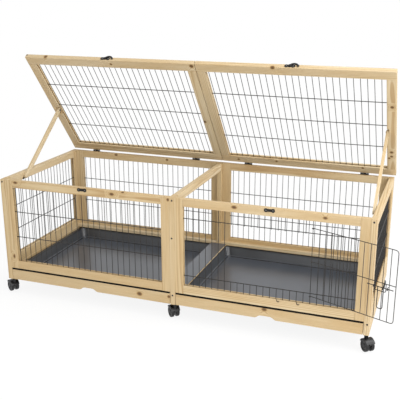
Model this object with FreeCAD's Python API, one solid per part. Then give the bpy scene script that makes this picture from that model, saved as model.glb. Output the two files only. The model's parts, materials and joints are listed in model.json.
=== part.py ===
import FreeCAD, Part
import os
from math import asin, atan, cos, pi, radians, sin

# Two-bay indoor rabbit cage of pine battens and wire mesh, on castors, with two propped lids,
# a wire door and two pull-out trays. Millimetres, +Z up, +X to the right, the front faces -Y.
# The origin lies on the floor under the middle of the wooden cage.

# Wooden cage
CAGE_WIDTH = 1450.0
CAGE_DEPTH = 566.0
LEG_HEIGHT = 420.0
LEG_THICK = 20.0
LEG_DEPTH = 40.0
ARRIS = 1.0
PANEL_THICK = 18.0
STILE_WIDTH = 33.0
TOP_RAIL_HEIGHT = 30.0
LOW_RAIL_HEIGHT = 33.0
SIDE_BOARD_HEIGHT = 95.0
BACK_BOARD_HEIGHT = 49.0

# Strips over the tray edges: a wide one on the divider, with a plastic cover, and one at each back panel
STRIP_TRAY_CLEAR = 4.0
DIVIDER_STRIP_WIDTH = 70.0
DIVIDER_STRIP_THICK = 5.5
DIVIDER_COVER_THICK = 1.5
BACK_STRIP_DEPTH = 20.0
BACK_STRIP_HEIGHT = 14.5

# Welded wire mesh, seated in grooves of the battens
WIRE_DIA = 2.3
CROSS_WIRE_DIA = 3.0
WIRE_PITCH = 24.2
WIRE_SEAT = 7.0
WIRE_EDGE_LEFT_BAY = 9.0
WIRE_EDGE_RIGHT_BAY = 12.0
WIRE_EDGE_SIDE = 12.0
GROOVE_DEPTH = 9.0
GROOVE_SPARE = 0.6
CROSS_WIRE_LOW = 0.33
CROSS_WIRE_HIGH = 0.67
LID_CROSS_WIRES = 3

# Doorway in the front mesh and its wire door
DOORWAY_LEAD_PITCHES = 6
DOORWAY_PITCHES = 13
DOORWAY_SILL = 38.0
DOORWAY_HEIGHT = 222.0
DOORWAY_WIRE_TAIL = 3.0
DOOR_LAP_BELOW = 10.5
DOOR_LAP_ABOVE = 18.0
DOOR_MIDDLE_RISE = 4.0
DOOR_WIRE_DIA = 2.6
DOOR_STAND_OFF = 3.2
DOOR_CORNER = 12.0
DOOR_OPEN_ANGLE = 157.8
BOLT_WIRE_DIA = 3.0
BOLT_STAND_OFF = 8.0
BOLT_DROP = 12.0
BOLT_LENGTH = 93.0
BOLT_BACKSET = 4.0
BOLT_HANDLE_PITCHES = 2
BOLT_KEEPER_PITCHES = (1, 3)
BOLT_HANDLE_WIDTH = 20.0
BOLT_HANDLE_DROP = 74.0
BOLT_HANDLE_BEND = 8.0
KEEPER_CLEAR = 1.0
KEEPER_BEND = 2.2

# Lids
LID_THICK = 18.0
LID_RAIL_WIDTH = 38.0
LID_STILE_WIDTH = 34.0
LID_SEAM = 2.0
LID_GAP = 5.0
LID_SETBACK = 4.0
LID_SHIFT = 5.0
LID_OPEN_ANGLE = 52.1
LID_WIRE_EDGE = 10.0
HINGE_INSET = 118.0
HINGE_LENGTH = 34.0
HINGE_LEAF_REACH = 10.0
HINGE_LEAF_THICK = 1.3
HINGE_KNUCKLE_DIA = 4.2
HINGE_PIN_DIA = 2.0
HINGE_AXIS_INSET = 1.0
HINGE_PLAY = 0.3
PIN_CLEARANCE = 0.05

# Wooden stays that prop the lids
STAY_WIDTH = 18.0
STAY_THICK = 10.0
STAY_RAIL_CLEAR = 1.5
STAY_PIVOT_REACH = 252.0
STAY_PIVOT_DEPTH = 3.5
STAY_FOOT_FROM_FRONT = 135.0
STAY_FOOT_DROP = 18.0
STAY_SCREW_DIA = 4.0
STAY_SCREW_HEAD_DIA = 8.0
STAY_SCREW_HEAD = 1.8
STAY_SCREW_GRIP = 13.0
STAY_POCKET_HALF = 21.0
STAY_POCKET_CLEAR = 0.5
STAY_STOP_DIA = 9.0
STAY_STOP_HEIGHT = 1.2

# Lid latches: a hook on each lid and a keeper on the rail below it, on plates of one shape
LATCH_PLATE_THICK = 1.6
LATCH_EAR_DIA = 14.0
LATCH_EAR_SPACING = 25.0
LATCH_WAIST = 9.5
LATCH_SCREW_HOLE_DIA = 4.6
LATCH_KEEPER_DROP = 8.5
LATCH_STUD_DIA = 7.0
LATCH_STUD_HEIGHT = 5.0
HOOK_LENGTH = 30.0
HOOK_ARCH = 9.5
HOOK_BAR = 6.0
HOOK_NOSE_DIA = 8.0
HOOK_THICK = 2.6
HOOK_BOSS_DIA = 12.0
HOOK_RIVET_DIA = 5.0
HOOK_RIVET_CAP_DIA = 8.0
HOOK_RIVET_CAP = 1.2
HOOK_CLEAR = 0.3

# Drawers with plastic trays
DRAWER_FRONT_HEIGHT = 44.0
DRAWER_FRONT_THICK = 18.0
DRAWER_GAP_ABOVE = 5.5
DRAWER_GAP_BELOW = 1.0
DRAWER_GAP_SIDE = 1.5
FINGER_RECESS_FLAT = 30.0
FINGER_RECESS_RUN = 28.0
FINGER_RECESS_DEPTH = 11.0
TRAY_RIM_DROP = 1.0
TRAY_DEPTH = 44.0
TRAY_WALL = 2.5
TRAY_DRAFT = 14.0
TRAY_RIM = 8.0
TRAY_LIP = 14.0
TRAY_FLANGE_SETBACK = 3.0
TRAY_CORNER = 28.0
TRAY_CORNER_TAPER = 0.5
TRAY_GAP_SIDE = 8.0
TRAY_GAP_BACK = 3.0
LEDGE_HEIGHT = 5.0
LEDGE_LAP = 16.0
LEDGE_CLEAR = 0.3

# Twin-wheel castors, turned as they happen to stand
CASTOR_HEIGHT = 62.0
CASTOR_WHEEL_DIA = 44.0
CASTOR_WHEEL_WIDTH = 12.0
CASTOR_TREAD_EASE = 3.0
CASTOR_WEB = 8.0
CASTOR_WEB_DROP = 6.0
CASTOR_TRAIL = 12.0
CASTOR_TURN_LEFT = 58.0
CASTOR_TURN_MIDDLE = 44.0
CASTOR_TURN_RIGHT = 218.0
CASTOR_TURN_BACK = -126.0
CASTOR_SIDE_CLEAR = 0.5
CASTOR_AXLE_DIA = 6.0
CASTOR_HOOD_GAP = 1.5
CASTOR_HOOD_WALL = 2.5
CASTOR_HOOD_FRONT_ANGLE = 20.0
CASTOR_HOOD_BACK_ANGLE = 150.0
CASTOR_NECK_DIA = 14.0
CASTOR_STEM_DIA = 8.0
CASTOR_STEM_LENGTH = 26.0
CASTOR_SOCKET_DIA = 11.0
CASTOR_SOCKET_DEPTH = 28.0
CASTOR_FLANGE_DIA = 16.0
CASTOR_FLANGE_THICK = 1.2
CASTOR_NECK_CLEAR = 0.4
FIT_CLEARANCE = 0.05

# Places worked out from the sizes above
X_AXIS = FreeCAD.Vector(1, 0, 0)
Y_AXIS = FreeCAD.Vector(0, 1, 0)
Z_AXIS = FreeCAD.Vector(0, 0, 1)
LEFT = -CAGE_WIDTH / 2
RIGHT = CAGE_WIDTH / 2
FRONT = -CAGE_DEPTH / 2
BACK = CAGE_DEPTH / 2
LEG_FOOT = CASTOR_HEIGHT
TOP = LEG_FOOT + LEG_HEIGHT
BAY_WIDTH = (CAGE_WIDTH - 3 * LEG_THICK) / 2
BAY_START = {"left": LEFT + LEG_THICK, "right": LEG_THICK / 2}
WIRE_EDGE = {"left": WIRE_EDGE_LEFT_BAY, "right": WIRE_EDGE_RIGHT_BAY}
PANEL_FOOT = LEG_FOOT + DRAWER_GAP_BELOW + DRAWER_FRONT_HEIGHT + DRAWER_GAP_ABOVE
PANEL_HEIGHT = TOP - PANEL_FOOT
OPENING_WIDTH = BAY_WIDTH - 2 * STILE_WIDTH
OPENING_HEIGHT = PANEL_HEIGHT - LOW_RAIL_HEIGHT - TOP_RAIL_HEIGHT
GROOVE_WIDTH = 2 * CROSS_WIRE_DIA + GROOVE_SPARE
LID_WIDTH = (CAGE_WIDTH - LID_SEAM) / 2
LID_LENGTH = CAGE_DEPTH - LID_SETBACK
LID_START = {"left": LEFT, "right": LID_SEAM / 2}
HINGE_Y = BACK - HINGE_AXIS_INSET
HINGE_Z = TOP + LID_GAP / 2


def vec(x, y, z):
    return FreeCAD.Vector(x, y, z)


def export(name, solids):
    shape = solids[0] if len(solids) == 1 else Part.makeCompound(solids)
    shape.exportStep(os.path.join("parts", name + ".step"))


def block(low, high):
    """A plain cutter between two corners."""
    size = high - low
    return Part.makeBox(size.x, size.y, size.z, low)


def batten(run, low, high):
    """A planed batten between two corners, its long edges along axis number run eased."""
    across, up = (run + 1) % 3, (run + 2) % 3
    width = high[across] - low[across]
    height = high[up] - low[up]
    outline = [
        (ARRIS, 0), (width - ARRIS, 0), (width, ARRIS), (width, height - ARRIS),
        (width - ARRIS, height), (ARRIS, height), (0, height - ARRIS), (0, ARRIS),
    ]
    corners = []
    for u, v in outline:
        point = [low.x, low.y, low.z]
        point[across] += u
        point[up] += v
        corners.append(vec(*point))
    length = vec(0, 0, 0)
    length[run] = high[run] - low[run]
    return Part.Face(Part.makePolygon(corners + corners[:1])).extrude(length)


def hexagon(centre, along, normal, dia):
    """Six-sided section of a wire, with two flats square to normal."""
    side = along.cross(normal).normalize()
    reach = dia / 2 / cos(pi / 6)
    corners = []
    for k in range(6):
        turn = pi / 6 + k * pi / 3
        corners.append(centre + normal * (reach * cos(turn)) + side * (reach * sin(turn)))
    return Part.makePolygon(corners + corners[:1])


def wire(start, end, normal, dia):
    """A straight wire between two points."""
    return Part.Face(hexagon(start, end - start, normal, dia)).extrude(end - start)


def bent_wire(points, bend, normal, dia):
    """A wire along straight runs whose corners are arcs of radius bend, in the plane square to normal."""
    edges = []
    here = points[0]
    for before, corner, after in zip(points, points[1:], points[2:]):
        back = (before - corner).normalize()
        ahead = (after - corner).normalize()
        half = back.getAngle(ahead) / 2
        reach = bend / (sin(half) / cos(half))
        middle = (back + ahead).normalize() * (bend / sin(half) - bend)
        edges.append(Part.LineSegment(here, corner + back * reach).toShape())
        edges.append(Part.Arc(corner + back * reach, corner + middle, corner + ahead * reach).toShape())
        here = corner + ahead * reach
    edges.append(Part.LineSegment(here, points[-1]).toShape())
    section = hexagon(points[0], points[1] - points[0], normal, dia)
    return Part.Wire(edges).makePipeShell([section], True, False)


def upright_positions(width, first):
    """Places of the upright wires across an opening, at one pitch from the first."""
    count = int((width - first - WIRE_DIA) / WIRE_PITCH) + 1
    return [first + k * WIRE_PITCH for k in range(count)]


def mesh(corner, across, up, normal, width, uprights, height, cross_levels):
    """Uprights and cross wires that touch, cross wires on the side of normal, their ends seated in grooves."""
    solids = []
    for place in uprights:
        foot = corner + across * place - normal * (WIRE_DIA / 2)
        solids.append(wire(foot - up * WIRE_SEAT, foot + up * (height + WIRE_SEAT), normal, WIRE_DIA))
    for level in cross_levels:
        start = corner + up * level + normal * (CROSS_WIRE_DIA / 2)
        seat = across * WIRE_SEAT
        solids.append(wire(start - seat, start + across * width + seat, normal, CROSS_WIRE_DIA))
    return solids


def framed_panel(width, height, thick, stile, foot, head, mesh_at, stiles_run_through):
    """Stiles and rails of a frame in its own corner, grooved inside for the mesh."""
    rail_ends = (stile, width - stile) if stiles_run_through else (0, width)
    stile_ends = (0, height) if stiles_run_through else (foot, height - head)
    groove = block(
        vec(stile - GROOVE_DEPTH, mesh_at - GROOVE_WIDTH / 2, foot - GROOVE_DEPTH),
        vec(width - stile + GROOVE_DEPTH, mesh_at + GROOVE_WIDTH / 2, height - head + GROOVE_DEPTH),
    )
    stiles = [
        batten(2, vec(x, 0, stile_ends[0]), vec(x + stile, thick, stile_ends[1])).cut(groove)
        for x in (0, width - stile)
    ]
    rails = [
        batten(0, vec(rail_ends[0], 0, z), vec(rail_ends[1], thick, z + tall)).cut(groove)
        for z, tall in ((0, foot), (height - head, head))
    ]
    return stiles, rails


def moved(solids, shift):
    return [solid.translated(shift) for solid in solids]


# Legs, side and divider rails, side and divider boards, with the side meshes
def side_frames():
    unit_starts = (LEFT, -LEG_THICK / 2, RIGHT - LEG_THICK)
    clear_front, clear_back = FRONT + LEG_DEPTH, BACK - LEG_DEPTH
    opening_foot, opening_head = LEG_FOOT + SIDE_BOARD_HEIGHT, TOP - TOP_RAIL_HEIGHT
    legs, rails, boards = [], [], []
    for x in unit_starts:
        is_divider = x == unit_starts[1]
        groove = block(
            vec(x + LEG_THICK / 2 - GROOVE_WIDTH / 2, clear_front - GROOVE_DEPTH, opening_foot - GROOVE_DEPTH),
            vec(x + LEG_THICK / 2 + GROOVE_WIDTH / 2, clear_back + GROOVE_DEPTH, opening_head + GROOVE_DEPTH),
        )
        unit_legs = [
            batten(2, vec(x, y, LEG_FOOT), vec(x + LEG_THICK, y + LEG_DEPTH, TOP)) for y in (FRONT, clear_back)
        ]
        rail = batten(1, vec(x, clear_front, opening_head), vec(x + LEG_THICK, clear_back, TOP))
        board_top = strip_level() if is_divider else LEG_FOOT + SIDE_BOARD_HEIGHT
        board = batten(1, vec(x, clear_front, LEG_FOOT), vec(x + LEG_THICK, clear_back, board_top))
        if not is_divider:
            unit_legs = [leg.cut(groove) for leg in unit_legs]
            rail = rail.cut(groove)
            board = board.cut(groove)
        places = [place for place in castor_places().values() if x < place.x < x + LEG_THICK]
        sockets = [castor_socket_hole(place) for place in places]
        for leg in unit_legs:
            for hole in sockets:
                leg = leg.cut(hole)
            legs.append(leg)
        rails.append(rail)
        boards.append(board)
    export("legs", legs)
    export("side_top_rails", rails)
    export("side_boards", boards)
    depth = clear_back - clear_front
    height = opening_head - opening_foot
    levels = [height * CROSS_WIRE_LOW, height * CROSS_WIRE_HIGH]
    uprights = upright_positions(depth, WIRE_EDGE_SIDE)
    for name, x, normal in (("mesh_left", LEFT, -X_AXIS), ("mesh_right", RIGHT - LEG_THICK, X_AXIS)):
        corner = vec(x + LEG_THICK / 2, clear_front, opening_foot)
        export(name, mesh(corner, Y_AXIS, Z_AXIS, normal, depth, uprights, height, levels))


# Front and back panels with their meshes
def panels():
    plain_levels = [OPENING_HEIGHT * CROSS_WIRE_LOW, OPENING_HEIGHT * CROSS_WIRE_HIGH]
    doorway_levels = [DOORWAY_SILL, DOORWAY_SILL + DOORWAY_HEIGHT]
    stiles, rails = framed_panel(
        BAY_WIDTH, PANEL_HEIGHT, PANEL_THICK, STILE_WIDTH, LOW_RAIL_HEIGHT, TOP_RAIL_HEIGHT,
        PANEL_THICK / 2, True,
    )
    for face, y in (("front", FRONT), ("back", BACK - PANEL_THICK)):
        normal = Y_AXIS if face == "front" else -Y_AXIS
        for bay, x in BAY_START.items():
            shift = vec(x, y, PANEL_FOOT)
            export(f"{face}_{bay}_stiles", moved(stiles, shift))
            export(f"{face}_{bay}_rails", moved(rails, shift))
            corner = shift + vec(STILE_WIDTH, PANEL_THICK / 2, LOW_RAIL_HEIGHT)
            uprights = upright_positions(OPENING_WIDTH, WIRE_EDGE[bay])
            has_doorway = face == "front" and bay == "right"
            in_doorway = []
            if has_doorway:
                first = DOORWAY_LEAD_PITCHES + 1
                in_doorway = uprights[first:first + DOORWAY_PITCHES - 1]
            whole = [place for place in uprights if place not in in_doorway]
            levels = doorway_levels if has_doorway else plain_levels
            wires = mesh(corner, X_AXIS, Z_AXIS, normal, OPENING_WIDTH, whole, OPENING_HEIGHT, levels)
            for place in in_doorway:
                foot = corner + X_AXIS * place - normal * (WIRE_DIA / 2)
                spans = (
                    (-WIRE_SEAT, doorway_levels[0] + DOORWAY_WIRE_TAIL),
                    (doorway_levels[1] - DOORWAY_WIRE_TAIL, OPENING_HEIGHT + WIRE_SEAT),
                )
                for low, high in spans:
                    wires.append(wire(foot + Z_AXIS * low, foot + Z_AXIS * high, normal, WIRE_DIA))
            export(f"mesh_{face}_{bay}", wires)
    boards = [
        batten(
            0, vec(x, BACK - PANEL_THICK, LEG_FOOT), vec(x + BAY_WIDTH, BACK, LEG_FOOT + BACK_BOARD_HEIGHT)
        )
        for x in BAY_START.values()
    ]
    export("back_boards", boards)


# Wire door, hooked round the right-hand upright of the doorway, and its sliding bolt
def door_axis():
    corner_x = BAY_START["right"] + STILE_WIDTH + WIRE_EDGE["right"]
    x = corner_x + (DOORWAY_LEAD_PITCHES + DOORWAY_PITCHES) * WIRE_PITCH
    sill = PANEL_FOOT + LOW_RAIL_HEIGHT + DOORWAY_SILL
    return vec(x, FRONT + PANEL_THICK / 2 - WIRE_DIA / 2, sill)


def hook_ring(z):
    section = hexagon(vec(DOOR_STAND_OFF, 0, z), Y_AXIS, X_AXIS, DOOR_WIRE_DIA)
    return Part.Face(section).revolve(vec(0, 0, z), Z_AXIS, 360)


def door():
    """The door is drawn closed about its axis, reaching along -X, then swung open."""
    width = DOORWAY_PITCHES * WIRE_PITCH
    low, high = -DOOR_LAP_BELOW, DOORWAY_HEIGHT + DOOR_LAP_ABOVE
    middle = (low + high) / 2 + DOOR_MIDDLE_RISE
    plane = -DOOR_STAND_OFF
    rim = bent_wire(
        [vec(0, plane, low), vec(-width, plane, low), vec(-width, plane, high), vec(0, plane, high)],
        DOOR_CORNER, Y_AXIS, DOOR_WIRE_DIA,
    )
    middle_end = vec(-width + DOOR_WIRE_DIA / 2, plane, middle)
    middle_wire = wire(vec(0, plane, middle), middle_end, Y_AXIS, DOOR_WIRE_DIA)
    frame = rim.fuse([middle_wire] + [hook_ring(z) for z in (low, middle, high)])
    upright_plane = plane - (DOOR_WIRE_DIA + WIRE_DIA) / 2
    solids = [frame]
    for k in range(1, DOORWAY_PITCHES):
        x = -k * WIRE_PITCH
        solids.append(wire(vec(x, upright_plane, low), vec(x, upright_plane, high), Y_AXIS, WIRE_DIA))
    bolt_plane = plane + BOLT_STAND_OFF
    bolt_level = middle - BOLT_DROP
    tip = -width + BOLT_BACKSET
    tail = tip + BOLT_LENGTH
    keeper_reach = (BOLT_WIRE_DIA + DOOR_WIRE_DIA) / 2 + KEEPER_CLEAR
    for k in BOLT_KEEPER_PITCHES:
        x = -width + k * WIRE_PITCH
        root = upright_plane + WIRE_DIA / 2
        reach = bolt_plane + keeper_reach
        solids.append(
            bent_wire(
                [
                    vec(x, root, bolt_level + keeper_reach), vec(x, reach, bolt_level + keeper_reach),
                    vec(x, reach, bolt_level - keeper_reach), vec(x, root, bolt_level - keeper_reach),
                ],
                KEEPER_BEND, X_AXIS, DOOR_WIRE_DIA,
            )
        )
    bar = wire(vec(tip, bolt_plane, bolt_level), vec(tail, bolt_plane, bolt_level), Y_AXIS, BOLT_WIRE_DIA)
    handle_x = -width + BOLT_HANDLE_PITCHES * WIRE_PITCH
    handle_top = bolt_level
    handle_foot = bolt_level - BOLT_HANDLE_DROP
    handle = bent_wire(
        [
            vec(handle_x - BOLT_HANDLE_WIDTH / 2, bolt_plane, handle_top),
            vec(handle_x - BOLT_HANDLE_WIDTH / 2, bolt_plane, handle_foot),
            vec(handle_x + BOLT_HANDLE_WIDTH / 2, bolt_plane, handle_foot),
            vec(handle_x + BOLT_HANDLE_WIDTH / 2, bolt_plane, handle_top),
        ],
        BOLT_HANDLE_BEND, Y_AXIS, BOLT_WIRE_DIA,
    )
    bolt = bar.fuse(handle)
    axis = door_axis()
    swung = []
    for solid in solids + [bolt]:
        solid = solid.copy()
        solid.rotate(vec(0, 0, 0), Z_AXIS, DOOR_OPEN_ANGLE)
        swung.append(solid.translated(axis))
    export("door", swung[:-1])
    export("door_bolt", swung[-1:])


# Lids with mesh, hinges, latch hooks and stays
def opened(solid):
    """A closed lid's piece, swung up about the hinge axis."""
    swung = solid.copy()
    swung.rotate(vec(0, HINGE_Y, HINGE_Z), X_AXIS, -LID_OPEN_ANGLE)
    return swung


def on_lid(solids, start):
    """From the panel's own corner to the closed lid: its height runs forward from the hinge edge."""
    placed = []
    for solid in solids:
        laid = solid.copy()
        laid.rotate(vec(0, 0, 0), X_AXIS, 90)
        placed.append(opened(laid.translated(vec(start, BACK - LID_SETBACK, TOP + LID_GAP))))
    return placed


def stay_pivot():
    closed = vec(0, BACK - LID_SETBACK - STAY_PIVOT_REACH, TOP + LID_GAP + STAY_PIVOT_DEPTH)
    turn = FreeCAD.Rotation(X_AXIS, -LID_OPEN_ANGLE)
    hinge = vec(0, HINGE_Y, HINGE_Z)
    return hinge + turn.multVec(closed - hinge)


def stay_foot():
    return vec(0, FRONT + STAY_FOOT_FROM_FRONT, TOP - STAY_FOOT_DROP)


def rod(start, direction, length, dia):
    return Part.makeCylinder(dia / 2, length, start, direction)


def lids():
    hinge_leaves = []
    for bay, start in LID_START.items():
        inward = 1 if bay == "left" else -1
        edge = start + LID_SHIFT
        stay_side = LEG_THICK + STAY_RAIL_CLEAR - inward * LID_SHIFT
        outer_edge = 0 if bay == "left" else LID_WIDTH
        stiles, rails = framed_panel(
            LID_WIDTH, LID_LENGTH, LID_THICK, LID_STILE_WIDTH, LID_RAIL_WIDTH, LID_RAIL_WIDTH,
            LID_THICK / 2, False,
        )
        pocket_near = outer_edge + inward * (stay_side - STAY_POCKET_CLEAR)
        pocket_far = outer_edge + inward * LID_STILE_WIDTH
        pocket = block(
            vec(min(pocket_near, pocket_far), 0, STAY_PIVOT_REACH - STAY_POCKET_HALF),
            vec(
                max(pocket_near, pocket_far), STAY_PIVOT_DEPTH + STAY_WIDTH / 2 + STAY_POCKET_CLEAR,
                STAY_PIVOT_REACH + STAY_POCKET_HALF,
            ),
        )
        screw_from = outer_edge + inward * (stay_side - STAY_SCREW_GRIP)
        head_from = stay_side + STAY_THICK + HINGE_PLAY
        shank_end = outer_edge + inward * head_from
        along = X_AXIS * inward
        screw_at = vec(0, STAY_PIVOT_DEPTH, STAY_PIVOT_REACH)
        shank = rod(screw_at + X_AXIS * screw_from, along, abs(shank_end - screw_from), STAY_SCREW_DIA)
        head = rod(screw_at + X_AXIS * shank_end, along, STAY_SCREW_HEAD, STAY_SCREW_HEAD_DIA)
        stiles = [stile.cut(pocket).cut(shank) for stile in stiles]
        opening = LID_LENGTH - 2 * LID_RAIL_WIDTH
        levels = [opening * (k + 1) / (LID_CROSS_WIRES + 1) for k in range(LID_CROSS_WIRES)]
        inside = LID_WIDTH - 2 * LID_STILE_WIDTH
        corner = vec(LID_STILE_WIDTH, LID_THICK / 2, LID_RAIL_WIDTH)
        uprights = upright_positions(inside, LID_WIRE_EDGE)
        wires = mesh(corner, X_AXIS, Z_AXIS, Y_AXIS, inside, uprights, opening, levels)
        export(f"lid_{bay}_stiles", on_lid(stiles, edge))
        export(f"lid_{bay}_rails", on_lid(rails, edge))
        export(f"lid_{bay}_mesh", on_lid(wires, edge))
        export(f"lid_{bay}_stay_screw", on_lid([shank.fuse(head)], edge))
        lid_leaves = []
        for middle in (start + HINGE_INSET, start + LID_WIDTH - HINGE_INSET):
            fixed_leaf, lid_leaf = hinge(middle)
            hinge_leaves.append(fixed_leaf)
            lid_leaves.append(opened(lid_leaf))
        export(f"lid_{bay}_hinge_leaves", lid_leaves)
        latch(bay)
        stay(bay, inward)
    export("hinge_leaves", hinge_leaves)


def hinge(middle):
    """A butt hinge at one place: the leaf on the back rail, with the pin, and the leaf under the lid."""
    segment = HINGE_LENGTH / 3
    knuckle_reach = HINGE_KNUCKLE_DIA / 2 + HINGE_PLAY
    start = middle - HINGE_LENGTH / 2

    def leaf(low, high, segments):
        plate = block(
            vec(start, HINGE_Y - HINGE_LEAF_REACH, low),
            vec(start + HINGE_LENGTH, HINGE_Y - knuckle_reach, high),
        )
        pieces = []
        for k in segments:
            first = start + k * segment + HINGE_PLAY / 2
            length = segment - HINGE_PLAY
            pieces.append(rod(vec(first, HINGE_Y, HINGE_Z), X_AXIS, length, HINGE_KNUCKLE_DIA))
            pieces.append(block(vec(first, HINGE_Y - knuckle_reach, low), vec(first + length, HINGE_Y, high)))
        return plate.fuse(pieces).removeSplitter()

    pin = rod(vec(start, HINGE_Y, HINGE_Z), X_AXIS, HINGE_LENGTH, HINGE_PIN_DIA)
    bore = rod(vec(start, HINGE_Y, HINGE_Z), X_AXIS, HINGE_LENGTH, HINGE_PIN_DIA + 2 * PIN_CLEARANCE)
    fixed_leaf = leaf(TOP, TOP + HINGE_LEAF_THICK, (0, 2)).fuse(pin)
    lid_leaf = leaf(TOP + LID_GAP - HINGE_LEAF_THICK, TOP + LID_GAP, (1,)).cut(bore)
    return fixed_leaf, lid_leaf


def arc_bar(centre, radius, width, start_angle, end_angle, thick):
    """A flat curved bar in the XZ plane, its thickness towards -Y."""
    def at(r, angle):
        return centre + vec(r * cos(angle), 0, r * sin(angle))

    middle = (start_angle + end_angle) / 2
    inner, outer = radius - width / 2, radius + width / 2
    edges = [
        Part.Arc(at(outer, start_angle), at(outer, middle), at(outer, end_angle)).toShape(),
        Part.LineSegment(at(outer, end_angle), at(inner, end_angle)).toShape(),
        Part.Arc(at(inner, end_angle), at(inner, middle), at(inner, start_angle)).toShape(),
        Part.LineSegment(at(inner, start_angle), at(outer, start_angle)).toShape(),
    ]
    return Part.Face(Part.Wire(edges)).extrude(vec(0, -thick, 0))


def latch_place(bay):
    """Middle of the hook's plate on the front edge of the closed lid."""
    return vec(LID_START[bay] + LID_WIDTH / 2, FRONT, TOP + LID_GAP + LID_THICK / 2)


def latch_plate(place):
    """Plate with a round ear and a screw hole at each end, its back on the plane of the front."""
    half = X_AXIS * (LATCH_EAR_SPACING / 2)
    rise = Z_AXIS * (LATCH_WAIST / 2)
    out = vec(0, -LATCH_PLATE_THICK, 0)
    plate = block(place - half - rise + out, place + half + rise)
    for middle in (place - half, place + half):
        plate = plate.fuse(rod(middle, -Y_AXIS, LATCH_PLATE_THICK, LATCH_EAR_DIA))
    for middle in (place - half, place + half):
        plate = plate.cut(rod(middle, -Y_AXIS, LATCH_PLATE_THICK, LATCH_SCREW_HOLE_DIA))
    return plate.removeSplitter()


def latch(bay):
    """Arched hook that turns on a rivet of the plate on the front edge of the lid."""
    place = latch_place(bay)
    rivet_length = LATCH_PLATE_THICK + HOOK_THICK + 2 * HOOK_CLEAR
    rivet = rod(place, -Y_AXIS, rivet_length, HOOK_RIVET_DIA)
    cap = rod(place - Y_AXIS * rivet_length, -Y_AXIS, HOOK_RIVET_CAP, HOOK_RIVET_CAP_DIA)
    export(f"lid_{bay}_latch_plate", [opened(latch_plate(place).fuse([rivet, cap]))])
    near = place - Y_AXIS * (LATCH_PLATE_THICK + HOOK_CLEAR)
    radius = (HOOK_LENGTH ** 2 / 4 + HOOK_ARCH ** 2) / (2 * HOOK_ARCH)
    spread = asin(HOOK_LENGTH / 2 / radius)
    centre = near + vec(HOOK_LENGTH / 2, 0, HOOK_ARCH - radius)
    bar = arc_bar(centre, radius, HOOK_BAR, pi / 2 - spread, pi / 2 + spread, HOOK_THICK)
    boss = rod(near, -Y_AXIS, HOOK_THICK, HOOK_BOSS_DIA)
    nose = rod(near + X_AXIS * HOOK_LENGTH, -Y_AXIS, HOOK_THICK, HOOK_NOSE_DIA)
    bore = rod(near, -Y_AXIS, HOOK_THICK, HOOK_RIVET_DIA + 2 * FIT_CLEARANCE)
    export(f"lid_{bay}_hook", [opened(bar.fuse([boss, nose]).cut(bore).removeSplitter())])


def stay(bay, inward):
    """Slat from its pivot in the lid's stile down to the inner face of the side rail, round at both ends."""
    pivot, foot = stay_pivot(), stay_foot()
    outer_face = LEFT + LEG_THICK + STAY_RAIL_CLEAR if bay == "left" else RIGHT - LEG_THICK - STAY_RAIL_CLEAR
    along = (foot - pivot).normalize()
    side = X_AXIS.cross(along) * (STAY_WIDTH / 2)
    tip = along * (STAY_WIDTH / 2)
    face_point = X_AXIS * outer_face
    edges = [
        Part.LineSegment(pivot + side, foot + side).toShape(),
        Part.Arc(foot + side, foot + tip, foot - side).toShape(),
        Part.LineSegment(foot - side, pivot - side).toShape(),
        Part.Arc(pivot - side, pivot - tip, pivot + side).toShape(),
    ]
    outline = Part.Wire(edges)
    outline.translate(face_point)
    slat = Part.Face(outline).extrude(X_AXIS * (inward * STAY_THICK))
    bore = rod(pivot + face_point, X_AXIS * inward, STAY_THICK, STAY_SCREW_DIA + 2 * FIT_CLEARANCE)
    export(f"stay_{bay}", [slat.cut(bore)])


def stay_stops():
    """Low round screw heads on the side rails, where the feet of the stays come to stand."""
    pivot, foot = stay_pivot(), stay_foot()
    along = (foot - pivot).normalize()
    place = foot + along * ((STAY_WIDTH + STAY_STOP_DIA) / 2)
    heads = []
    for x, inward in ((LEFT + LEG_THICK, X_AXIS), (RIGHT - LEG_THICK, -X_AXIS)):
        heads.append(rod(place + X_AXIS * x, inward, STAY_STOP_HEIGHT, STAY_STOP_DIA))
    export("stay_stops", heads)


def latch_keepers():
    """Plates with a stud on the front rails, under the hooks."""
    plates = []
    for bay in BAY_START:
        place = vec(latch_place(bay).x, FRONT, TOP - LATCH_KEEPER_DROP)
        plates.append(latch_plate(place).fuse(rod(place, -Y_AXIS, LATCH_STUD_HEIGHT, LATCH_STUD_DIA)))
    export("latch_keepers", plates)


# Drawers: a front board with a finger recess, and a moulded tray on ledges
def rounded_rectangle(x0, x1, y0, y1, z, corner):
    """A closed outline of lines and quarter arcs at one level."""
    edges = []
    slant = corner * (1 - cos(pi / 4))
    corners = (
        (vec(x1 - corner, y0, z), vec(x1 - slant, y0 + slant, z), vec(x1, y0 + corner, z)),
        (vec(x1, y1 - corner, z), vec(x1 - slant, y1 - slant, z), vec(x1 - corner, y1, z)),
        (vec(x0 + corner, y1, z), vec(x0 + slant, y1 - slant, z), vec(x0, y1 - corner, z)),
        (vec(x0, y0 + corner, z), vec(x0 + slant, y0 + slant, z), vec(x0 + corner, y0, z)),
    )
    last = corners[-1][2]
    for start, middle, end in corners:
        edges.append(Part.LineSegment(last, start).toShape())
        edges.append(Part.Arc(start, middle, end).toShape())
        last = end
    return Part.Wire(edges)


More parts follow.
